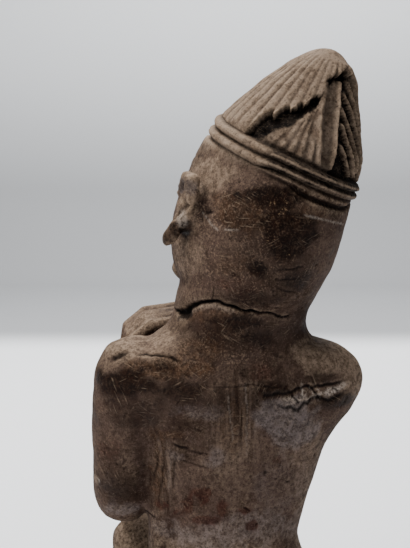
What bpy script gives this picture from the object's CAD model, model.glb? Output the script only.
"""Looks of the seated stone figure: the carved surface, its old patina, a pale floor and soft light."""

import math

import bpy
import numpy as np
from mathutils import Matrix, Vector


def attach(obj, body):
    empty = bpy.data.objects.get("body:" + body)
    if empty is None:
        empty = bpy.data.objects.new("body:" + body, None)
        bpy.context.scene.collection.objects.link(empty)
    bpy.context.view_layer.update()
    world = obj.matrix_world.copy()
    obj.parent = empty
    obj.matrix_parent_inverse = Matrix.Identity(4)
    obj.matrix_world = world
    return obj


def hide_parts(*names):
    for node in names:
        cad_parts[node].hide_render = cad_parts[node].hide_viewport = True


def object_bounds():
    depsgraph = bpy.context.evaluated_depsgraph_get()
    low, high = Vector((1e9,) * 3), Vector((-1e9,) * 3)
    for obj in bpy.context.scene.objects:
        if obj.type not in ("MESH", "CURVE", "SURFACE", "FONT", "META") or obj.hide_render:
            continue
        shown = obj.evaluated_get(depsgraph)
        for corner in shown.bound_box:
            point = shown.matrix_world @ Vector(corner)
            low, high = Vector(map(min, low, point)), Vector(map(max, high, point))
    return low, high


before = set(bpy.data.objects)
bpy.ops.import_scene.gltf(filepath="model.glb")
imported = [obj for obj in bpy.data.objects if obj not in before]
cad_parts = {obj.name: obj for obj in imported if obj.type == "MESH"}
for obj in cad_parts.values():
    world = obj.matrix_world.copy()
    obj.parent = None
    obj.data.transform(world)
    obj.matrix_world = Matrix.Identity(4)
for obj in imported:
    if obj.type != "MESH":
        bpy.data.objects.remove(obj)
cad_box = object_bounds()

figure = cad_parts["ntadi_figure"]
CAD_LOW = np.array(cad_box[0]) * 1000
CAD_HIGH = np.array(cad_box[1]) * 1000
VOXEL = 0.8  # mm, the grain of the carved mesh
TRIANGLES = 188000  # of the finished mesh

# The head's own frame: the middle of the cap's band, with axes to the head's left, back and up
HEAD_AT = np.array([-24.0, 32.0, 330.0])
HEAD_TURN = math.radians(28)
HEAD_UP = Vector((-0.333, 0.071, 1)).normalized()
HEAD_LEFT = Vector((-math.sin(HEAD_TURN), math.cos(HEAD_TURN), 0)).cross(HEAD_UP).normalized()
HEAD_AXES = np.array([HEAD_LEFT, HEAD_UP.cross(HEAD_LEFT), HEAD_UP])


def to_head(points):
    """Places of the figure in the head's own frame."""
    return (np.asarray(points, float) - HEAD_AT) @ HEAD_AXES.T


def from_head(points):
    """Places of the head's own frame in the figure's."""
    return np.asarray(points, float) @ HEAD_AXES + HEAD_AT


def ramp(value, low, high):
    """Rises smoothly from 0 at low to 1 at high."""
    t = np.clip((value - low) / (high - low), 0, 1)
    return t * t * (3 - 2 * t)


LATTICE = np.random.default_rng(11).random(4096)
PRIMES = (73856093, 19349663, 83492791)  # they scatter a grid cell's place over the lattice
# A turn that keeps the noise's grid from lining up with the figure
TWIST = np.linalg.qr(np.array([[1.0, 0.7, -0.4], [-0.5, 1.0, 0.6], [0.8, -0.3, 1.0]]))[0]


def noise(points, size, shift=0.0):
    """Smooth noise from -1 to 1 that changes over a size in mm."""
    place = points @ TWIST / size + shift * 17.31 + 500
    cell = np.floor(place).astype(np.int64)
    part = place - cell
    part = part * part * (3 - 2 * part)
    total = np.zeros(len(points))
    for corner in range(8):
        step = np.array([corner & 1, corner >> 1 & 1, corner >> 2 & 1])
        x, y, z = ((cell + step) * PRIMES).T
        share = np.prod(np.where(step, part, 1 - part), axis=1)
        total += share * LATTICE[(x ^ y ^ z) % len(LATTICE)]
    return 2 * total - 1


class Stone:
    """The surface as points in mm, with links to neighbours."""

    def __init__(self, mesh):
        self.mesh = mesh
        count = len(mesh.vertices)
        flat = np.empty(count * 3, np.float32)
        mesh.vertices.foreach_get("co", flat)
        self.co = flat.reshape(-1, 3).astype(float) * 1000
        ends = np.empty(len(mesh.edges) * 2, np.int32)
        mesh.edges.foreach_get("vertices", ends)
        self.a, self.b = ends.reshape(-1, 2).T
        self.links = np.bincount(self.a, minlength=count) + np.bincount(self.b, minlength=count)

    def around(self, values):
        """Each point's mean of its neighbours' values."""
        if values.ndim == 2:
            return np.stack([self.around(column) for column in values.T], axis=1)
        count = len(self.co)
        total = np.bincount(self.a, values[self.b], count)
        total += np.bincount(self.b, values[self.a], count)
        return total / self.links

    def relax(self, values, weight, rounds):
        """Draws values towards their neighbours' mean, as far as each point's weight says."""
        if values.ndim == 2:
            weight = weight[:, None]
        for _ in range(rounds):
            values = values + weight * (self.around(values) - values)
        return values

    def soften(self, weight, rounds):
        """Rounds facets off and gives back most of the girth that this costs."""
        smooth = self.relax(self.co, weight, rounds)
        self.co = smooth + self.relax(self.co - smooth, weight, rounds)

    def store(self):
        """Writes the points back into the mesh."""
        self.mesh.vertices.foreach_set("co", (self.co * 0.001).astype(np.float32).ravel())
        self.mesh.update()

    def normals(self):
        """The surface's outward directions at the points."""
        self.store()
        flat = np.empty(len(self.co) * 3, np.float32)
        self.mesh.vertices.foreach_get("normal", flat)
        return flat.reshape(-1, 3).astype(float)


def carved_copy(node, name):
    """A fine even mesh in the form of the CAD solid."""
    piece = bpy.data.objects.new(name, node.data.copy())
    bpy.context.scene.collection.objects.link(piece)
    remesh = piece.modifiers.new("grain", "REMESH")
    remesh.mode = "VOXEL"
    remesh.voxel_size = VOXEL * 0.001
    bake_modifiers(piece)
    return piece


def bake_modifiers(piece):
    """Puts the mesh that the modifiers make in place of the object's own."""
    depsgraph = bpy.context.evaluated_depsgraph_get()
    mesh = bpy.data.meshes.new_from_object(piece.evaluated_get(depsgraph))
    piece.modifiers.clear()
    piece.data = mesh


# Where small carved forms keep their crispness, in mm: middle and radius
FINE_BODY = [
    ((40, -26, 226), 27),
    ((44, -40, 116), 27),
    ((48, -68, 26), 22),
    ((24, -56, 27), 14),
    ((0, -5, 128), 5),
]
FINE_HEAD = [
    ((0, -54, -50), 30),
    ((15, -50, -34), 16),
    ((-15, -50, -34), 16),
    ((50, -8, -40), 20),
    ((-50, -8, -40), 20),
]
FIST = (44, -22, 232)  # middle of the left fist, whose facets are rounded further
FIST_REACH = (18, 27)  # fully within the first distance of it, and not beyond the second
ARM_SEAM = (45, 160)  # width and height of the shallow seam between the left arm and the back
SLAB_TOP = (20, 27)  # heights over which the slab ends and the body starts
INSET = 0.05  # how far the carved surface stays inside the solid's box


def seam_mask(stone):
    """Where the arm runs into the back with only a shallow seam."""
    x, y, z = stone.co.T
    across = 1 - ramp(np.abs(x - ARM_SEAM[0]), 7, 15)
    along = 1 - ramp(np.abs(z - ARM_SEAM[1]), 26, 38)
    return across * along * ramp(y, -8, 0)


def fine_mask(stone, head):
    """1 on small carved forms, such as the hands, feet, face and ears."""
    mask = np.zeros(len(stone.co))
    for points, spots in ((stone.co, FINE_BODY), (head, FINE_HEAD)):
        for middle, radius in spots:
            far = np.linalg.norm(points - np.array(middle), axis=1)
            mask = np.maximum(mask, 1 - ramp(far, radius, radius + 9))
    return mask


# Cap: the half width of the cone at heights over the band, as in the solid
CAP_PROFILE = [(-20, 40.9), (0, 43), (16, 40.9), (28, 34.8), (42, 27.3), (55, 18.7), (64.5, 10.1), (69, 0)]
CAP_BEND = 6  # how far the cone leans back at 60 mm over the band
CAP_DEEPER = 1.04  # its depth over its width
CAP_TOP = 67.9
CAP_REACH = 60  # nothing of the cap is farther from the head's axis
TIP_WIDE = 14.4  # half width of the rounded tip, where it starts
TIP_TALL = 8.2
PROFILE_Z = np.linspace(-20, CAP_TOP, 600)


def cap_profile():
    """The cone's half width at the heights PROFILE_Z, with its corners smoothed and its tip rounded."""
    widths = np.interp(PROFILE_Z, *zip(*CAP_PROFILE))
    kernel = np.exp(-np.linspace(-2.5, 2.5, 61) ** 2)
    padded = np.pad(widths, 30, mode="reflect", reflect_type="odd")
    widths = np.convolve(padded, kernel / kernel.sum(), "valid")
    rounded = TIP_WIDE * np.sqrt(np.clip((CAP_TOP - PROFILE_Z) / TIP_TALL, 0, None))
    blend = ramp(PROFILE_Z, 57, 62)
    return widths * (1 - blend) + rounded * blend


PROFILE_R = cap_profile()
PROFILE_SLOPE = np.clip(np.gradient(PROFILE_R, PROFILE_Z), -6, 1)


def band_foot(degrees):
    """The band's lower edge, which dips behind."""
    turn = np.cos(np.radians(degrees))
    return -1.5 - 7 * turn - 2.8 * ramp(turn, 0.8, 0.97)


def band_top(degrees):
    """The band is narrow behind, where it sits low, and widens over the brow."""
    return 9.4 - 6 * np.cos(np.radians(degrees - 15)) + 5 * ramp(np.abs(degrees), 100, 180)


# The sunk panel's broken edge: degrees from the middle of the back towards the head's right, and
# heights over the band
PANEL_EDGE = [
    (-81, 6), (-78, 14), (-76, 20), (-73, 25), (-70, 25), (-67, 23), (-64, 28), (-61, 30), (-56, 29),
    (-52, 32), (-47, 34), (-43, 35), (-41, 39), (-34, 42), (-33, 50), (-29, 53), (-21, 55), (-10, 55),
    (-2, 59), (13, 60), (23, 58), (35, 55), (42, 44), (48, 26), (52, 8),
]
# The lower end of the rough bite under that edge
CREVICE_FOOT = [
    (-80, 4), (-75, 5), (-68, 6), (-63, 9), (-56, 14), (-48, 21), (-41, 28), (-34, 33), (-32, 43), (-22, 49),
    (5, 51), (20, 52), (28, 50), (36, 46), (44, 32), (50, 8),
]
# Ribs: half width, height, roughness, then three places that each curve passes
RIBS = [
    (1.9, 2.8, 0.3, (-32, 48), (-27, 28), (-18, 4)),
    (1.5, 3.0, 0.2, (-8, 51), (-9, 28), (-6, 4)),
    (1.1, 5.2, 0.05, (8, 53), (26, 40), (40, 18)),
    (1.1, 5.2, 0.05, (-2, 46), (17, 36), (33, 17)),
    (1.1, 5.2, 0.05, (-6, 39), (11, 27), (27, 9)),
    (1.1, 5.0, 0.05, (-3, 31), (9, 20), (25, 6)),
    (1.1, 4.4, 0.05, (-2, 20), (8, 12), (20, 4)),
    (1.6, 1.5, 0.7, (-32, 32), (-29, 20), (-26, 7)),
    (1.6, 1.5, 0.7, (-34, 34), (-35, 21), (-34, 7)),
    (1.7, 1.6, 0.7, (-38, 32), (-40, 20), (-43, 7)),
    (1.7, 1.4, 0.7, (-42, 28), (-46, 18), (-51, 6)),
]
FLUTE_TURN = 10  # degrees from groove to groove
FLUTE_DEEP = 1.15
FLUTE_SHARE = 0.048  # of the radius, where that is less
TOOTH = 2.6
PANEL_DEEP = 3.4
RIGHT_DEEPER = 2.2  # how much deeper the panel's right part lies
BITE_DEEP = 3.4  # the rough bite under the panel's edge
LEDGE_DEEP = 0.8  # the narrow ledge under the ribs
ROLL_TALL = 6.1
ROLL_PROUD = 2.8
GROOVE_DEEP = 0.9
LONGEST_MOVE = 3  # mm that a point of the cap moves in one round


def bow(points, count=8):
    """Places along a smooth curve through three places."""
    first, middle, last = np.array(points, float)
    t = np.linspace(0, 1, count + 1)[:, None]
    return first * (2 * t * t - 3 * t + 1) + middle * (4 * t - 4 * t * t) + last * (2 * t * t - t)


def cap_place(head):
    """Degrees round the cap from the middle of its back, and the place in its bent cross section."""
    x, y, z = head.T
    bend = CAP_BEND * (np.maximum(z, 0) / 60) ** 1.5
    deep = (y - bend) / CAP_DEEPER
    return np.degrees(np.arctan2(-x, deep)), deep, np.hypot(x, deep)


def flutes(degrees, z, radius, places, pitted):
    """Rounded ridges between narrow grooves, worn towards tip and hem.

    Gives how far they lift the surface, and how far each place is from its groove, up to 1 on a ridge."""
    top = band_top(degrees)
    along = places * (1, 0.4, 1)
    turn = (degrees + 1.3 * noise(along, 14)) / FLUTE_TURN
    off = np.abs(turn - np.round(turn)) * 2
    ridge = np.sqrt(np.clip(1 - (1 - off) ** 2.2, 0, 1))
    depth = np.minimum(FLUTE_DEEP, FLUTE_SHARE * radius) * (1 + 0.5 * noise(along, 8, 3))
    depth *= 1 - 0.9 * ramp(z, 58, 66)
    depth *= 0.4 + 0.6 * ramp(z, top + 1, top + 8)
    lift = depth * (ridge - 1) - 0.2 * np.exp(-((off / 0.22) ** 2)) * (depth > 0.4)
    lift += 0.35 * noise(places, 6, 14) + pitted
    # the cone is fuller below its tip, behind and to the right
    full = ramp(z, 44, 56) * (1 - ramp(z, 63, 68)) * ramp(np.cos(np.radians(degrees - 40)), 0.1, 0.9)
    return lift + 1.8 * full, off


def rib_height(degrees, z, radius, places):
    """How high the ribs stand in the sunk panel."""
    ribs = np.zeros(len(z))
    for half, high, rough, *points in RIBS:
        near = np.full(len(z), 99.0)
        curve = bow(points)
        for (d0, z0), (d1, z1) in zip(curve, curve[1:]):
            dx = (d1 - d0) * np.radians(1) * radius
            px = (degrees - d0) * np.radians(1) * radius
            dz = z1 - z0
            t = np.clip((px * dx + (z - z0) * dz) / (dx * dx + dz * dz), 0, 1)
            near = np.minimum(near, np.hypot(px - t * dx, z - z0 - t * dz))
        crest = high * np.exp(-((near / half) ** 2)) * (1 + rough * noise(places, 3, half + high))
        ribs = np.maximum(ribs, crest)
    top = band_top(degrees)
    return ribs * ramp(z, top + 0.8, top + 3)


def sunk_panel(degrees, z, radius, places, pitted, off):
    """The broken panel behind: how far it lifts the surface, its soot, and 1 inside it or 0 outside.

    Its broken edge has a tooth under each flute, and a rough bite runs below the edge."""
    top = band_top(degrees)
    ragged = 1.1 * noise(places, 2.6, 5) + 0.8 * noise(places, 1.2, 6)
    teeth = TOOTH * (0.5 - off) * (1 + noise(places, 11, 7))
    edge = np.interp(degrees, *zip(*PANEL_EDGE)) + ragged + teeth
    low = np.interp(degrees, *zip(*CREVICE_FOOT)) + 0.9 * ragged
    sides = ramp(degrees, -81, -78) * (1 - ramp(degrees, 50, 53))
    inside = ramp(edge - z, -0.3, 0.5) * sides
    bite = ramp((z - low) / np.maximum(edge - low, 2.0), -0.1, 0.8)
    right = ramp(degrees, -10, -4)
    plane = ramp(-degrees, 36 + 0.75 * (35 - z), 39 + 0.75 * (35 - z))
    floor = -PANEL_DEEP - RIGHT_DEEPER * right + 1.1 * plane
    floor += (1 - 0.7 * right) * (0.5 * noise(places, 2.4, 8) + 1.9 * bite * noise(places, 2.8, 9) + pitted)
    ribs = rib_height(degrees, z, radius, places)
    panel = floor + ribs - BITE_DEEP * bite * (1 - ramp(ribs, 0.5, 2))
    panel -= LEDGE_DEEP * (1 - ramp(z, top + 1, top + 3))

    # soot in the bite, in the channels between the ribs and over the ledge
    channel = 1 - ramp(ribs, 0.5 + 1.5 * right, 2.6 + 1.7 * right)
    black = ramp(bite + 0.2 * noise(places, 2.6, 15), 0.05, 0.36) * (1 - 0.5 * ramp(ribs, 1.5, 2.5))
    narrow = ramp(degrees, -29, -25) * (1 - right)
    soot = np.maximum(black, channel * (0.08 + 0.9 * right + 0.35 * narrow + 0.2 * ramp(bite, 0, 0.1)))
    soot = np.maximum(soot, 0.7 * (1 - ramp(z, top + 1, top + 3.5)))
    return panel, soot, inside


def band_rolls(degrees, z, places, pitted):
    """Two rolls with deep grooves, and a third where the band dips behind, with their grime."""
    foot = band_foot(degrees)
    top = band_top(degrees)
    shade = ramp(degrees, -66, -46) * (1 - ramp(degrees, 70, 95))
    tall = ROLL_TALL - 1.2 * shade + 1.2 * ramp(np.abs(degrees), 100, 180)
    place = (top - z) / tall
    roll = np.abs(np.sin(np.pi * place)) ** 0.8
    worn = 0.7 * noise(places, 7, 12) + 0.5 * noise(places, 2.8, 13)
    proud = ROLL_PROUD - 1.1 * shade * ramp(degrees, -40, 20) + worn
    groove = np.exp(-(((place - np.round(place)) / 0.1) ** 2))
    rolls = proud * roll - GROOVE_DEEP - GROOVE_DEEP * groove + pitted
    rolls = (rolls + GROOVE_DEEP) * ramp(z, foot - 0.2, foot + 1.2) - GROOVE_DEEP
    grimy = shade * (0.88 - 0.78 * ramp(roll, 0.9, 1)) + (1 - shade) * 0.6 * (1 - ramp(roll, 0.2, 0.8))
    return rolls, grimy


def cap_lift(degrees, z, radius):
    """How far the cap's surface stands off its bare cone, and how sooty it is there."""
    places = np.stack([degrees * 0.6, z, np.zeros(len(z))], axis=1)
    pitted = 0.12 * noise(places, 1.6, 2) - 0.35 * ramp(noise(places, 2.2, 4), 0.5, 0.8)
    fluted, off = flutes(degrees, z, radius, places, pitted)
    panel, soot, inside = sunk_panel(degrees, z, radius, places, pitted, off)
    rolls, grimy = band_rolls(degrees, z, places, pitted)
    lift = fluted * (1 - inside) + panel * inside
    soot = soot * inside + 0.2 * np.exp(-((off / 0.3) ** 2)) * (1 - inside)
    top = band_top(degrees)
    cone = ramp(z, top - 0.6, top + 0.6)
    return rolls * (1 - cone) + lift * cone, grimy * (1 - cone) + soot * cone


def shape_cap(stone):
    """Draws the cap's surface onto its exact carved form, in a few rounds of short moves."""
    head = to_head(stone.co)
    chosen = np.flatnonzero((head[:, 2] > -16) & (np.hypot(head[:, 0], head[:, 1]) < CAP_REACH))
    grip = np.zeros(len(stone.co))
    for _ in range(4):
        head = to_head(stone.co[chosen])
        x, z = head[:, 0], head[:, 2]
        degrees, deep, out = cap_place(head)
        held = ramp(z, band_foot(degrees) - 1.6, band_foot(degrees) - 0.2)
        held *= np.where(z > 50, 1, ramp(out, 2, 4))
        radius = np.interp(z, PROFILE_Z, PROFILE_R)
        slope = np.interp(z, PROFILE_Z, PROFILE_SLOPE)
        gap = radius + cap_lift(degrees, z, np.maximum(radius, 4))[0] - out
        move = np.clip(gap / (1 + slope**2) * held, -LONGEST_MOVE, LONGEST_MOVE)
        unit_x = x / np.maximum(out, 0.5)
        unit_y = deep / np.maximum(out, 0.5)
        # the rounded tip is reached from above, and the rest from the side
        tip = ramp(z, 61, 64)
        fall = CAP_TOP - TIP_TALL * (out / TIP_WIDE) ** 2 - z
        fall = np.clip(fall, -LONGEST_MOVE, LONGEST_MOVE)
        move *= 1 - tip
        step = np.stack([unit_x * move, unit_y * move * CAP_DEEPER, fall * tip * held - slope * move], axis=1)
        stone.co[chosen] += step @ HEAD_AXES
        grip[chosen] = held
        stone.co = stone.relax(stone.co, 0.2 * grip, 1)


class Chisel:
    """Cuts and swellings along lines laid on the surface."""

    def __init__(self, stone):
        self.stone = stone
        self.normal = stone.normals()
        self.cut = np.zeros(len(stone.co))  # how black the cuts are
        self.bare = np.zeros(len(stone.co))  # how pale the broken places are

    def settle(self, point):
        """The surface point nearest to a place."""
        return self.stone.co[np.argmin(((self.stone.co - point) ** 2).sum(axis=1))]

    def on_back(self, x, z):
        """The rearmost surface point at a width and a height."""
        near = np.abs(self.stone.co[:, [0, 2]] - (x, z)).max(axis=1) < 1.2
        found = self.stone.co[near]
        return found[np.argmax(found[:, 1])] if len(found) else np.array([x, 0.0, z])

    def line(self, points, half, depth, black=0.0, wobble=0.0, taper=True, bend=2.7):
        """Sinks a line by a depth, or raises it if the depth is below zero; pale if black is below zero.

        Half width and depth are numbers, or lists of them from the line's start to its end."""
        places = []
        for start, end in zip(points, points[1:]):
            count = max(1, int(np.linalg.norm(np.subtract(end, start)) / 0.7))
            places += [start + (end - start) * k / count for k in range(count)]
        places = np.array(places + [points[-1]], float)
        places += wobble * np.stack([noise(places, bend, s) for s in (1, 2, 3)], axis=1)
        low = places.min(axis=0) - 4 * np.max(half) - 6
        high = places.max(axis=0) + 4 * np.max(half) + 6
        chosen = np.flatnonzero(((self.stone.co > low) & (self.stone.co < high)).all(axis=1))
        if not len(chosen):
            return
        co = self.stone.co[chosen]
        places = np.array([co[np.argmin(((co - place) ** 2).sum(axis=1))] for place in places])
        for _ in range(3):
            places[1:-1] = (places[:-2] + 2 * places[1:-1] + places[2:]) / 4
        along = np.linspace(0.02, 0.98, len(places))
        strength = 0.35 + 0.65 * np.sin(np.pi * along) ** 0.5 if taper else np.ones(len(places))
        strength = strength * (1 + 0.35 * noise(places, 4, 9))
        halves = np.interp(along, np.linspace(0, 1, np.size(half)), np.atleast_1d(half))
        depths = np.interp(along, np.linspace(0, 1, np.size(depth)), np.atleast_1d(depth))
        best = np.zeros(len(chosen))
        sunk = np.zeros(len(chosen))
        for place, power, wide, deep in zip(places, strength, halves, depths):
            reach = power * np.exp(-((co - place) ** 2).sum(axis=1) / wide**2)
            sunk = np.where(reach > best, reach * deep, sunk)
            best = np.maximum(best, reach)
        self.stone.co[chosen] -= self.normal[chosen] * sunk[:, None]
        tint = ramp(best, 0.15, 0.75)
        self.cut[chosen] = np.maximum(self.cut[chosen], black * tint)
        self.bare[chosen] = np.maximum(self.bare[chosen], -black * tint)


# Marks on the back: half width, depth, or height if below zero, blackness, or paleness if below
# zero, wobble, and the points that the mark passes, across and up
BACK_LINES = [
    (1.8, 1.5, 0.7, 0.6, (73, 226), (69, 228), (65, 230)),
    (0.9, 0.9, 0.8, 1.0, (60, 229), (53, 229), (46, 229), (39, 227)),
    (3.0, 0.9, 0.4, 1.5, (58, 224), (50, 223), (42, 223)),
    (0.6, 0.3, 0.3, 0.5, (26, 213), (16, 212), (0, 213), (-22, 209)),
    (1.0, -0.3, -0.45, 1.6, (-17, 204), (-27, 202), (-35, 206)),
    (0.9, -0.4, -0.55, 1.5, (-33, 203), (-41, 206), (-49, 204)),
    (2.0, -0.3, -0.9, 1.2, (-46, 204), (-52, 206), (-59, 209)),
    (0.8, -0.2, -0.3, 1.2, (-22, 199), (-30, 201), (-37, 199)),
    (0.8, -0.2, -0.5, 1.2, (-45, 201), (-56, 205)),
    (0.4, 0.1, -0.9, 0.3, (-30, 212), (-31, 203)),
    (0.4, 0.1, -0.9, 0.3, (-35, 209), (-38, 201)),
    (0.4, 0.1, -0.9, 0.3, (-40, 208), (-42, 201)),
    (1.0, 0.8, 0.8, 1.4, (-9, 207), (-22, 207), (-31, 210), (-44, 209), (-57, 211)),
    (1.2, 0.8, 0.7, 1.6, (-18, 200), (-28, 198), (-39, 202), (-50, 200), (-61, 204)),
    (0.7, 0.8, 0.9, 0.6, (-36, 208), (-42, 201)),
    (0.7, 0.7, 0.8, 0.6, (-24, 206), (-28, 199)),
    (0.7, 0.7, 0.8, 0.6, (-50, 208), (-54, 203)),
    (0.6, 0.2, 0.25, 0.3, (8, 212), (7, 176)),
    (0.6, 0.3, 0.5, 0.5, (6, 200), (6, 176)),
    (0.6, 0.2, -0.2, 0.5, (2, 214), (3, 172)),
    (0.6, 0.2, -0.2, 0.5, (13, 208), (11, 180)),
    (1.0, 0.9, 0.7, 0.5, (42, 178), (38, 176), (35, 176)),
    (0.7, 0.5, 0.4, 0.6, (34, 176), (25, 173)),
    (0.5, 0.3, 0.4, 0.3, (39, 169), (24, 165)),
    (0.9, 0.5, 0.4, 0.7, (49, 173), (50, 162), (51, 155)),
    (0.7, 0.3, 0.3, 0.9, (46, 175), (47, 155), (50, 134)),
    (0.7, 0.2, -0.12, 0.9, (43, 174), (44, 150)),
    (0.7, 0.2, 0.4, 0.9, (40, 172), (42, 152)),
    (1.5, 0.9, 1.0, 0.0, (-16, 228), (-17, 228)),
    (1.2, 0.7, 0.8, 0.0, (-9, 160), (-11, 161)),
    (0.9, 0.6, 0.8, 0.0, (-23, 153), (-25, 153)),
    (1.3, 0.5, -0.9, 0.0, (81, 152), (81, 151)),
    (0.5, 0.3, 0.4, 0.4, (-31, 164), (-39, 164)),
    (0.6, 0.4, 0.8, 0.2, (3, 141), (-1, 139)),
    (0.6, 0.4, 0.8, 0.3, (54, 132), (50, 133)),
    (3.2, 0.7, 0.25, 1.4, (2, 278), (-1, 276)),
    (0.8, 0.4, 0.7, 0.8, (-10, 276), (-25, 277)),
    (0.8, 0.4, 0.7, 0.8, (-9, 271), (-24, 271)),
    (0.7, 0.4, 0.6, 0.7, (-12, 265), (-22, 263)),
    (0.6, 0.2, -0.5, 0.3, (26, 307), (20, 298)),
    (0.6, 0.2, -0.5, 0.3, (17, 299), (10, 299)),
    (0.6, 0.2, -0.5, 0.3, (-24, 305), (-53, 298)),
    (1.3, 0.6, 0.9, 0.0, (25, 307), (22, 308)),
    (0.6, 0.4, 0.6, 0.4, (21, 266), (22, 258)),
    (3.4, -1.2, -0.5, 1.0, (37, 307), (37, 300)),
    (2.4, 0.8, 0.8, 1.2, (35, 296), (34, 292)),
]
# The old break round the neck: degrees from the back towards the left, height, half width, depth
BREAK = [
    (98, 251, 0.5, 0.6), (84, 250, 0.9, 1.6), (74, 250, 1.6, 2.4), (64, 252, 2.0, 2.9), (54, 257, 1.2, 2.7),
    (44, 259, 1.0, 2.5), (32, 259, 0.9, 2.3), (23, 256, 0.85, 2.1), (14, 254, 0.85, 2.0), (-1, 252, 0.8, 1.6),
    (-15, 250, 0.7, 1.2), (-31, 248, 0.6, 0.7),
]
# On the head, in its own frame: half width, depth, blackness, points
HEAD_LINES = [
    (0.9, 0.9, 0.3, (8, -54, -34), (17, -53, -29.5), (26, -49, -34)),
    (0.8, 0.7, 0.3, (8, -54, -35), (17, -53, -39), (26, -49, -35)),
    (0.9, 0.9, 0.3, (-8, -54, -34), (-17, -53, -29.5), (-26, -49, -34)),
    (0.8, 0.7, 0.3, (-8, -54, -35), (-17, -53, -39), (-26, -49, -35)),
    (0.8, 0.9, 0.4, (-14, -49, -65), (0, -54, -65), (14, -49, -65)),
    (1.3, 1.2, 0.5, (4, -60, -56), (5, -59, -56)),
    (1.3, 1.2, 0.5, (-4, -60, -56), (-5, -59, -56)),
    (2.6, 2.0, 0.4, (50, -8, -30), (51, -6, -36), (50, -9, -44)),
    (2.6, 2.0, 0.4, (-50, -8, -30), (-51, -6, -36), (-50, -9, -44)),
]


# A deeper place in the break, below the left ear, as degrees and height
BREAK_POCKET = [(77, 247.5), (69, 249), (60, 251)]
LIP_TURNS = (20, 80)  # the break's lower lip stands proud between these degrees
LIP_DROP = 2.6
# The neck's cross section: an ellipse that grows deeper with height
NECK_AT = (-3, 26)
NECK_WIDE = 39.3
NECK_DEEP = 34
NECK_HEIGHT = 240
NECK_GROWTH = 0.18


def round_neck(degrees, z):
    """A place on the neck or the skull's foot, before it is set on the surface."""
    angle = math.radians(degrees)
    deep = NECK_DEEP + NECK_GROWTH * (z - NECK_HEIGHT)
    return np.array([NECK_AT[0] + NECK_WIDE * math.sin(angle), NECK_AT[1] + deep * math.cos(angle), z])


def cut_break(chisel):
    """The old break round the neck, as one line of varying width and depth with a raised lower lip."""
    turns, heights, halves, depths = np.array(BREAK).T
    fine_turns = np.arange(turns[0], turns[-1], -1.5)
    fine_heights = np.interp(-fine_turns, -turns, heights)
    fine_heights = np.convolve(np.pad(fine_heights, 3, mode="edge"), np.full(7, 1 / 7), "valid")
    path = [round_neck(*place) for place in zip(fine_turns, fine_heights)]
    half = np.interp(-fine_turns, -turns, halves)
    depth = np.interp(-fine_turns, -turns, depths)
    chisel.line(path, half, depth, black=1.0, wobble=1.3, taper=False, bend=3.6)
    pocket = [round_neck(*place) for place in BREAK_POCKET]
    chisel.line(pocket, 1.9, 1.5, black=0.8, wobble=0.9)
    lipped = (fine_turns > LIP_TURNS[0]) & (fine_turns < LIP_TURNS[1])
    lip = [place - (0, 0, LIP_DROP) for place, here in zip(path, lipped) if here]
    chisel.line(lip, 1.6, -0.45, black=-0.12, wobble=1.1, bend=4.5)


def chisel_marks(stone):
    """Cuts the break, the marks on the back and the lines of the face and ears."""
    chisel = Chisel(stone)
    cut_break(chisel)
    for half, depth, black, wobble, *points in BACK_LINES:
        chisel.line([chisel.on_back(*point) for point in points], half, depth, black, wobble)
    for half, depth, black, *points in HEAD_LINES:
        chisel.line([chisel.settle(place) for place in from_head(points)], half, depth, black)
    return chisel


BROKEN_EAR = (50, -8, -36)  # the left ear's middle in the head's frame; its rim is chipped


def weather(stone, head, fine):
    """Low unevenness of a hand-worked, worn surface."""
    normal = stone.normals()
    cap = ramp(head[:, 2], -9, -4)
    calm = 1 - 0.65 * np.maximum(cap, fine)
    swell = 0.38 * noise(stone.co, 17) + 0.2 * noise(stone.co, 7, 2) + 0.09 * noise(stone.co, 3, 4)
    pits = 0.35 * ramp(noise(stone.co, 2.4, 7), 0.55, 0.8)
    broken = 1 - ramp(np.linalg.norm(head - BROKEN_EAR, axis=1), 13, 18)
    chips = 0.45 * noise(stone.co, 3.2, 10) + 0.3 * noise(stone.co, 1.6, 11)
    stone.co += normal * (calm * swell - calm * pits + broken * chips)[:, None]


def hollowness(stone, rounds, size):
    """How far a point lies below its neighbourhood, from -1 on edges to 1 in hollows."""
    normal = stone.normals()
    mean = stone.relax(stone.co, np.full(len(stone.co), 0.7), rounds)
    return np.clip(((mean - stone.co) * normal).sum(axis=1) / size, -1, 1)


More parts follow.
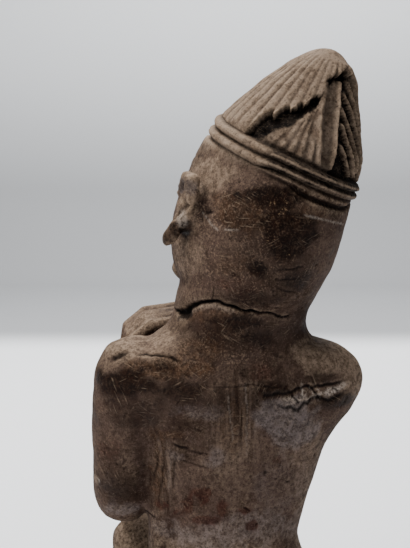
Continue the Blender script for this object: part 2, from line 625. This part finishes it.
# Patches seen from behind: kind, place across and up, half width, half height, strength
PATCHES = [
    ("pale", 24, 326, 15, 9, 1.0),
    ("pale", 34, 309, 6, 8, 0.8),
    ("pale", 33, 286, 8, 24, 0.6),
    ("dark", 35, 321, 5, 4, 0.6),
    ("dark", -12, 288, 32, 30, 0.45),
    ("dark", -19, 293, 14, 13, 1.5),
    ("dark", -14, 285, 8, 5, 0.9),
    ("dark", -10, 303, 12, 10, 0.8),
    ("dark", -9, 316, 22, 5, 1.1),
    ("dark", 9, 297, 9, 12, 0.5),
    ("dark", -1, 277, 6, 5, 0.9),
    ("dark", -21, 271, 11, 8, 0.8),
    ("dark", 3, 261, 26, 6, 0.6),
    ("dark", 36, 297, 6, 5, 1.1),
    ("dark", 45, 293, 4, 4, 0.8),
    ("rust", 8, 306, 13, 13, 1.1),
    ("dark", 6, 300, 12, 15, 0.55),
    ("rust", -23, 306, 20, 6, 0.6),
    ("rust", 14, 279, 12, 7, 0.5),
    ("red", 8, 268, 15, 6, 0.5),
    ("flecks", -9, 310, 7, 7, 1.0),
    ("flecks", -23, 304, 5, 4, 1.0),
    ("flecks", -5, 295, 4, 4, 1.0),
    ("flecks", -18, 284, 9, 5, 1.0),
    ("dark", 2, 240, 42, 9, 0.5),
    ("dark", 8, 247, 18, 5, 0.9),
    ("dark", -8, 237, 14, 7, 0.8),
    ("rust", 20, 250, 16, 5, 0.7),
    ("rust", 25, 232, 13, 8, 0.7),
    ("rust", 12, 243, 13, 7, 0.5),
    ("rust", 44, 221, 26, 7, 1.0),
    ("pale", 70, 230, 16, 6, 0.7),
    ("pale", 48, 236, 14, 5, 0.5),
    ("pale", -40, 229, 18, 6, 0.7),
    ("pale", -68, 214, 15, 16, 1.3),
    ("pale", 20, 117, 34, 10, 0.8),
    ("pale", -34, 160, 16, 36, 0.55),
    ("pale", 12, 165, 18, 20, 0.3),
    ("dark", 64, 213, 20, 8, 1.0),
    ("dark", 42, 210, 26, 8, 0.75),
    ("dark", 14, 204, 30, 8, 0.5),
    ("dark", 60, 199, 28, 12, 0.55),
    ("dark", 69, 150, 11, 14, 0.5),
    ("dark", -12, 208, 12, 5, 0.8),
    ("dark", -42, 213, 13, 3, 0.7),
    ("dark", -52, 198, 14, 4, 0.8),
    ("rust", 9, 192, 9, 22, 0.4),
    ("rust", 45, 184, 10, 4, 0.6),
    ("rust", 48, 156, 5, 22, 0.6),
    ("rust", -21, 154, 14, 16, 0.4),
    ("red", -4, 219, 10, 5, 0.5),
    ("red", 75, 173, 7, 8, 0.45),
    ("red", 25, 151, 7, 3, 1.5),
    ("red", 25, 147, 4, 3, 1.4),
    ("red", 33, 143, 3, 6, 1.4),
    ("red", 24, 135, 9, 3, 1.6),
    ("red", 15, 142, 3, 6, 1.5),
    ("red", 45, 141, 5, 3, 0.9),
    ("red", 39, 137, 3, 2, 1.0),
    ("red", -2, 131, 4, 3, 1.6),
    ("red", 2, 140, 4, 2, 1.2),
    ("red", -17, 168, 4, 3, 0.8),
    ("grey", -22, 191, 20, 15, 1.5),
    ("pale", -50, 223, 22, 10, 1.2),
    ("grey", 8, 128, 46, 12, 0.6),
    ("pale", 10, 124, 46, 12, 0.5),
    ("grey", -20, 152, 18, 24, 0.4),
    ("streaks", 8, 188, 18, 40, 1.0),
    ("streaks", 46, 160, 9, 30, 1.2),
    ("streaks", -14, 160, 14, 26, 0.5),
    ("stipple", 14, 292, 50, 42, 1.0),
    ("stipple", 26, 230, 50, 16, 0.8),
    ("grey", 34, 320, 6, 5, 0.9),
    ("grey", 28, 198, 20, 5, 0.5),
    ("grey", 19, 171, 7, 7, 0.6),
    ("grey", 40, 172, 6, 4, 0.4),
    ("grey", 68, 134, 12, 6, 0.7),
    ("grey", 27, 126, 29, 7, 0.5),
    ("pale", 5, 140, 9, 26, 0.3),
    ("pale", 81, 152, 2, 3, 1.0),
    ("pale", 50, 113, 9, 8, 0.4),
    ("pale", 64, 106, 10, 9, 0.8),
    ("pale", -36, 111, 6, 8, 0.8),
]


def paint(stone, head, chisel):
    """Stores on the mesh where the stone is patched, sooty, hollow, worn or cut, for the material."""
    normal = stone.normals()
    co = stone.co
    kinds = {kind: np.zeros(len(co)) for kind, *_ in PATCHES}
    behind = ramp(normal[:, 1], -0.15, 0.25)
    # patches wander at their edges, the small ones less
    wander = 0.3 * noise(co, 11, 20) + 0.25 * noise(co, 4, 21) + 0.15 * noise(co, 1.8, 22)
    for kind, x, z, wide, high, strength in PATCHES:
        far = np.hypot((co[:, 0] - x) / wide, (co[:, 2] - z) / high)
        far += wander * min(1, (wide + high) / 14)
        kinds[kind] = np.maximum(kinds[kind], strength * behind * (1 - ramp(far, 0.55, 1.2)))
    small = hollowness(stone, 4, 0.35)
    large = hollowness(stone, 40, 1.6)
    cap = ramp(head[:, 2], -8, -3)
    degrees = cap_place(head)[0]
    radius = np.interp(head[:, 2], PROFILE_Z, PROFILE_R)
    kinds["soot"] = cap_lift(degrees, head[:, 2], np.maximum(radius, 4))[1] * cap
    smooth_up = stone.relax(normal[:, 2], np.full(len(co), 0.7), 12)
    kinds["up"] = ramp(smooth_up, 0.1, 0.75)
    kinds["hollow"] = np.clip(0.75 * np.maximum(small, 0) + 0.6 * np.maximum(large, 0), 0, 1)
    kinds["worn"] = np.clip(0.7 * np.maximum(-small, 0) + 0.5 * np.maximum(-large, 0), 0, 1)
    kinds["cut"] = chisel.cut
    kinds["bare"] = chisel.bare
    kinds["cap"] = cap
    for name, values in kinds.items():
        layer = stone.mesh.attributes.new(name, "FLOAT", "POINT")
        layer.data.foreach_set("value", values.astype(np.float32))


def carve():
    """The figure as it is seen: the solid with rounded facets, its cap redrawn and its marks cut."""
    piece = carved_copy(figure, "carved_figure")
    stone = Stone(piece.data)
    underside = stone.co[:, 2] < 0.5
    head = to_head(stone.co)
    fine = fine_mask(stone, head)
    near_cap = np.hypot(head[:, 0], head[:, 1]) < CAP_REACH
    cap = ramp(head[:, 2], band_foot(0) - 8, band_foot(0) - 3) * near_cap
    slab = 1 - ramp(stone.co[:, 2], *SLAB_TOP)
    # the large forms are rounded most, then all but the cap a little, and the fist once more
    body = (1 - fine) * (1 - cap) * (1 - 0.8 * slab)
    stone.soften(0.5 * body, 110)
    stone.co = stone.relax(stone.co, 0.6 * seam_mask(stone), 260)
    stone.soften(0.5 * (1 - cap) * (1 - 0.4 * slab), 18)
    fist = 1 - ramp(np.linalg.norm(stone.co - FIST, axis=1), *FIST_REACH)
    stone.soften(0.5 * fist, 10)
    shape_cap(stone)
    chisel = chisel_marks(stone)
    head = to_head(stone.co)
    weather(stone, head, fine)
    # the foot stays flat, and nothing reaches past the solid's box
    stone.co[underside, 2] = 0
    stone.co = np.clip(stone.co, CAD_LOW + INSET, CAD_HIGH - INSET)
    stone.co[underside, 2] = 0
    paint(stone, head, chisel)
    stone.store()
    thin = piece.modifiers.new("thin", "DECIMATE")
    thin.ratio = TRIANGLES / (2 * len(piece.data.polygons))
    bake_modifiers(piece)
    for polygon in piece.data.polygons:
        polygon.use_smooth = True
    return piece


def colour(r, g, b):
    """A linear colour from 0 to 255 screen values."""
    return tuple(((v / 255 + 0.055) / 1.055) ** 2.4 if v > 10 else v / 255 / 12.92 for v in (r, g, b)) + (1,)


class Nodes:
    """Short calls for building a material; each gives the socket that it ends in."""

    def __init__(self, name):
        self.material = bpy.data.materials.new(name)
        self.material.use_nodes = True
        self.tree = self.material.node_tree
        self.shader = self.tree.nodes["Principled BSDF"]
        where = self.tree.nodes.new("ShaderNodeTexCoord")
        self.place = where.outputs["Object"]

    def add(self, kind, **inputs):
        """A node with its inputs fed, where _ in an input's name stands for a space."""
        node = self.tree.nodes.new(kind)
        for name, value in inputs.items():
            self.feed(node.inputs[name.replace("_", " ")], value)
        return node

    def feed(self, socket, value):
        """Links a socket's value or sets a constant one."""
        if isinstance(value, bpy.types.NodeSocket):
            self.tree.links.new(value, socket)
        else:
            socket.default_value = value

    def layer(self, name):
        """A value that paint stored on the mesh."""
        node = self.tree.nodes.new("ShaderNodeAttribute")
        node.attribute_name = name
        return node.outputs["Fac"]

    def math(self, operation, a, b=0.0, clamp=False):
        node = self.tree.nodes.new("ShaderNodeMath")
        node.operation = operation
        node.use_clamp = clamp
        self.feed(node.inputs[0], a)
        self.feed(node.inputs[1], b)
        return node.outputs[0]

    def times(self, a, b, clamp=False):
        return self.math("MULTIPLY", a, b, clamp)

    def plus(self, a, b):
        return self.math("ADD", a, b)

    def minus(self, a, b):
        return self.math("SUBTRACT", a, b)

    def grain(self, size, detail=4.0, rough=0.55, stretch=None, turn=(0, 0, 0), bend=0.0):
        """Noise whose features are a size in mm, and longer by the stretch along turned axes."""
        where = self.place
        if stretch:
            node = self.tree.nodes.new("ShaderNodeMapping")
            node.vector_type = "TEXTURE"
            for name, value in (("Vector", where), ("Rotation", turn), ("Scale", stretch)):
                self.feed(node.inputs[name], value)
            where = node.outputs[0]
        node = self.add("ShaderNodeTexNoise", Vector=where, Scale=1000 / size, Detail=detail, Distortion=bend)
        self.feed(node.inputs["Roughness"], rough)
        return node.outputs[0]

    def window(self, value, low, high, to_low=0.0, to_high=1.0):
        """Goes smoothly from one number to another while the value goes from low to high."""
        node = self.add("ShaderNodeMapRange", Value=value)
        node.interpolation_type = "SMOOTHSTEP"
        for name, number in (("From Min", low), ("From Max", high), ("To Min", to_low), ("To Max", to_high)):
            node.inputs[name].default_value = number
        return node.outputs[0]

    def mix(self, share, first, second, blend="MIX"):
        """The first tone with a share of the second over it."""
        node = self.tree.nodes.new("ShaderNodeMix")
        node.data_type = "RGBA"
        node.blend_type = blend
        # a mix node holds sockets for every data type; these are the colours' own
        self.feed(node.inputs[0], share)
        self.feed(node.inputs[6], first)
        self.feed(node.inputs[7], second)
        return node.outputs[2]


# Patina: kind, how fully it covers, and the two tones that it varies between
PATINA = [
    ("pale", 0.8, (94, 78, 65), (128, 110, 94)),
    ("grey", 0.78, (76, 66, 63), (106, 97, 95)),
    ("rust", 0.8, (40, 26, 18), (74, 52, 36)),
    ("red", 0.8, (38, 18, 13), (62, 34, 27)),
    ("dark", 0.94, (11, 5, 4), (31, 17, 11)),
]
SCRATCH_TURNS = (0.4, 1.0, -0.5, -1.1, 1.5)  # radians


class Soapstone(Nodes):
    """The old stone, whose colour is laid on in layers, each over the ones before."""

    def __init__(self):
        super().__init__("old_soapstone")
        self.mottle = self.grain(8, 7, 0.68)
        self.middle = self.grain(3.6, 5, 0.66)
        self.crumbs = self.grain(1.8, 4, 0.72)
        self.speck = self.grain(0.9, 2, 0.5)
        self.base = self.ground()
        self.wax = self.patina()
        self.quiet = self.minus(1.0, self.times(self.wax, 0.8))
        self.wear()
        self.scratches = self.scratch_lines()
        self.marks()
        self.surface()

    def cover(self, share, tone, blend="MIX"):
        """Lays a tone over a share of the colour so far."""
        self.base = self.mix(share, self.base, tone, blend)

    def ground(self):
        """Clouded brown stone."""
        cloud = self.grain(34, 4, 0.55)
        return self.mix(self.window(cloud, 0.34, 0.66), colour(42, 29, 23), colour(76, 60, 52))

    def patina(self):
        """Mottling, tan on the cap and on what faces up, brush marks and patches; gives the wax's share."""
        veins = self.grain(5, 5, 0.6, (1, 1, 2.8), (0.25, 0.1, 0.2), 0.4)
        self.cover(self.window(self.mottle, 0.42, 0.72, 0, 0.32), colour(92, 76, 68))
        self.cover(self.window(veins, 0.5, 0.7, 0, 0.32), colour(30, 20, 14))
        tan = self.mix(self.window(self.mottle, 0.34, 0.66), colour(88, 72, 60), colour(136, 118, 102))
        self.cover(self.layer("cap"), tan)
        rest = self.times(self.layer("up"), self.window(self.middle, 0.32, 0.68, 0.22, 0.7))
        self.cover(rest, colour(112, 95, 79))
        strokes = self.grain(2.4, 4, 0.6, (1, 1, 16))
        brushed = self.mix(self.window(strokes, 0.36, 0.64), colour(44, 32, 25), colour(98, 82, 71))
        self.cover(self.times(self.layer("streaks"), 0.6), brushed)

        # the patches' edges are broken up by the mottling
        finer = self.times(self.minus(self.middle, 0.5), 0.75)
        ragged = self.plus(self.minus(self.mottle, 0.5), finer)
        varied = self.window(self.middle, 0.3, 0.7)
        masks = {}
        for kind, share, first, second in PATINA:
            spread = self.window(self.plus(self.layer(kind), ragged), 0.0, 1.0)
            masks[kind] = self.times(spread, share)
            self.cover(masks[kind], self.mix(varied, colour(*first), colour(*second)))
        return masks["dark"]

    def wear(self):
        """Dust on worn edges, grime in hollows and soot in the cap's cuts."""
        dusty = self.window(self.crumbs, 0.3, 0.62, 0.12, 0.7)
        dust = self.times(self.times(self.layer("worn"), self.quiet), dusty)
        self.cover(dust, colour(140, 121, 101))
        grimy = self.window(self.mottle, 0.3, 0.6, 0.65, 1.0)
        grime = self.times(self.layer("hollow"), grimy, clamp=True)
        share = self.minus(0.9, self.times(self.layer("cap"), 0.45))
        self.cover(self.times(grime, share), colour(20, 13, 10))
        sooty = self.window(self.middle, 0.25, 0.6, 1.3, 0.94)
        self.cover(self.times(self.layer("soot"), sooty, clamp=True), colour(14, 10, 8))

    def scratch_lines(self):
        """Fine lines in several directions: where thin sheets of noise meet the surface."""
        found = None
        for k, turn in enumerate(SCRATCH_TURNS):
            sheets = self.grain(0.8, 2, 0.5, (1, 9, 11), (0.05 * k, turn, 0))
            where = self.window(self.grain(17 + k, 4), 0.5, 0.62)
            lines = self.times(self.window(sheets, 0.6, 0.74), where)
            found = lines if found is None else self.math("MAXIMUM", found, lines)
        return found

    def marks(self):
        """Pale flecks, scratches, specks and dots, then the pale broken places and the dark cuts."""
        flecks = self.plus(self.layer("flecks"), 0.04)
        fleck = self.times(self.window(self.crumbs, 0.6, 0.68), flecks, clamp=True)
        self.cover(self.times(fleck, 0.8), colour(134, 110, 84))
        browned = self.math("MAXIMUM", self.layer("rust"), self.layer("dark"))
        scratched = self.plus(self.times(browned, 0.38), 0.2)
        self.cover(self.times(self.scratches, scratched), colour(128, 110, 92))
        self.cover(self.window(self.speck, 0.28, 0.42, 0.42, 0), colour(22, 15, 11))
        bright = self.times(self.window(self.speck, 0.62, 0.76, 0, 0.22), self.quiet)
        self.cover(bright, colour(140, 120, 98))
        dots = self.times(self.window(self.grain(1.1, 2, 0.5), 0.54, 0.64, 0, 0.65), self.layer("stipple"))
        dots = self.times(dots, self.window(self.mottle, 0.4, 0.62, 0.2, 1.0))
        self.cover(self.times(dots, self.quiet), colour(128, 106, 88))
        rough = self.window(self.crumbs, 0.34, 0.62, 0.84, 1.1)
        shadow = self.times(rough, self.window(self.middle, 0.34, 0.66, 0.9, 1.08))
        self.cover(1.0, shadow, "MULTIPLY")
        broken = self.times(self.layer("bare"), self.window(self.crumbs, 0.35, 0.6, 0.1, 1.0))
        self.cover(broken, colour(170, 157, 145))
        self.cover(self.layer("cut"), colour(7, 5, 4))

    def surface(self):
        """The waxy patches shine a little; crumbs, specks and scratches are fine relief."""
        self.feed(self.shader.inputs["Base Color"], self.base)
        waxy = self.plus(self.wax, self.times(self.mottle, 0.4))
        self.feed(self.shader.inputs["Roughness"], self.window(waxy, 0.1, 1.2, 0.75, 0.42))
        self.shader.inputs["Specular IOR Level"].default_value = 0.04
        grains = self.plus(self.times(self.crumbs, 0.55), self.times(self.speck, 0.3))
        height = self.minus(grains, self.times(self.scratches, 0.25))
        bump = self.add("ShaderNodeBump", Strength=0.6, Distance=0.0007, Height=height)
        self.feed(self.shader.inputs["Normal"], bump.outputs[0])


# The camera's place and what it looks at, in metres
VIEW_PLACE = Vector((0.1444, 0.617, 0.3543))
VIEW_AIM = Vector((0.0167, 0.0164, 0.268))
LENS = 71.456  # mm, on a sensor 36 mm wide

# The backdrop, in metres: the floor runs from its near edge under the camera to a wall that stands
# farther off than any camera in front of the figure
FLOOR_NEAR = 1.6
WALL_FAR = 1.9
WALL_TALL = 3.4
WALL_BEND = 0.2
HALF_WIDE = 3.6
FADE = (-1.2, -1.02)  # from the wall's tone to the floor's own, so that no edge shows
SHADED = 0.62  # the wall pales up to this height


def sweep_profile(steps=16):
    """The backdrop's cut from front to back, as places in depth and height."""
    profile = [(FLOOR_NEAR, 0), (WALL_BEND - WALL_FAR, 0)]
    for step in range(1, steps + 1):
        angle = math.radians(step / steps * 90)
        y = WALL_BEND - WALL_FAR - WALL_BEND * math.sin(angle)
        profile.append((y, WALL_BEND * (1 - math.cos(angle))))
    return profile + [(-WALL_FAR, WALL_TALL)]


def backdrop():
    """A pale floor that sweeps up into a pale wall far behind the figure, square to the camera."""
    profile = sweep_profile()
    points = [(x, y, z) for y, z in profile for x in (-HALF_WIDE, HALF_WIDE)]
    faces = [(2 * k, 2 * k + 1, 2 * k + 3, 2 * k + 2) for k in range(len(profile) - 1)]
    mesh = bpy.data.meshes.new("floor")
    mesh.from_pydata(points, [], faces)
    for polygon in mesh.polygons:
        polygon.use_smooth = True
    floor = bpy.data.objects.new("floor", mesh)
    turn = math.atan2(VIEW_AIM[0] - VIEW_PLACE[0], VIEW_PLACE[1] - VIEW_AIM[1])
    floor.rotation_euler = (0, 0, turn)
    bpy.context.scene.collection.objects.link(floor)
    board = Nodes("pale_board")
    place = board.add("ShaderNodeSeparateXYZ", Vector=board.place)
    height = board.window(place.outputs[2], 0.0, SHADED)
    wall = board.mix(height, colour(146, 147, 149), colour(196, 198, 200))
    tone = board.mix(board.window(place.outputs[1], *FADE), wall, colour(227, 228, 230))
    board.feed(board.shader.inputs["Base Color"], tone)
    board.shader.inputs["Roughness"].default_value = 0.85
    board.shader.inputs["Specular IOR Level"].default_value = 0.2
    mesh.materials.append(board.material)


def lamp(name, place, aim, size, power, tint=(1, 1, 1)):
    """A soft round light that shines from a place towards another."""
    data = bpy.data.lights.new(name, "AREA")
    data.shape = "DISK"
    data.size = size
    data.energy = power
    data.color = tint
    light = bpy.data.objects.new(name, data)
    light.location = place
    light.rotation_euler = (Vector(aim) - Vector(place)).to_track_quat("-Z", "Y").to_euler()
    bpy.context.scene.collection.objects.link(light)


def studio():
    """The backdrop, the soft light from above and from the window's side, and the camera."""
    backdrop()
    world = bpy.data.worlds.new("air")
    world.use_nodes = True
    air = world.node_tree.nodes["Background"]
    air.inputs["Color"].default_value = (0.93, 0.96, 1.0, 1)
    air.inputs["Strength"].default_value = 0.22
    bpy.context.scene.world = world
    lamp("window", (0.95, 0.5, 1.25), aim=(0, 0, 0.25), size=0.6, power=13, tint=(1.0, 0.98, 0.95))
    lamp("sky", (0.25, 0.05, 1.9), aim=(0, -0.05, 0.2), size=1.2, power=34)
    lamp("floor_light", (0.0, -0.75, 1.5), aim=(0, -0.75, 0), size=0.9, power=34)
    lamp("wall_light", (-0.6, -1.1, 1.3), aim=(-0.5, -1.9, 0.5), size=0.7, power=16)

    data = bpy.data.cameras.new("camera")
    data.lens = LENS
    data.sensor_width = 36
    camera = bpy.data.objects.new("camera", data)
    camera.location = VIEW_PLACE
    camera.rotation_euler = (VIEW_AIM - VIEW_PLACE).to_track_quat("-Z", "Y").to_euler()
    bpy.context.scene.collection.objects.link(camera)
    bpy.context.scene.camera = camera


figure_piece = carve()
figure_piece.data.materials.clear()
figure_piece.data.materials.append(Soapstone().material)
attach(figure_piece, "root")
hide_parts("ntadi_figure")
studio()
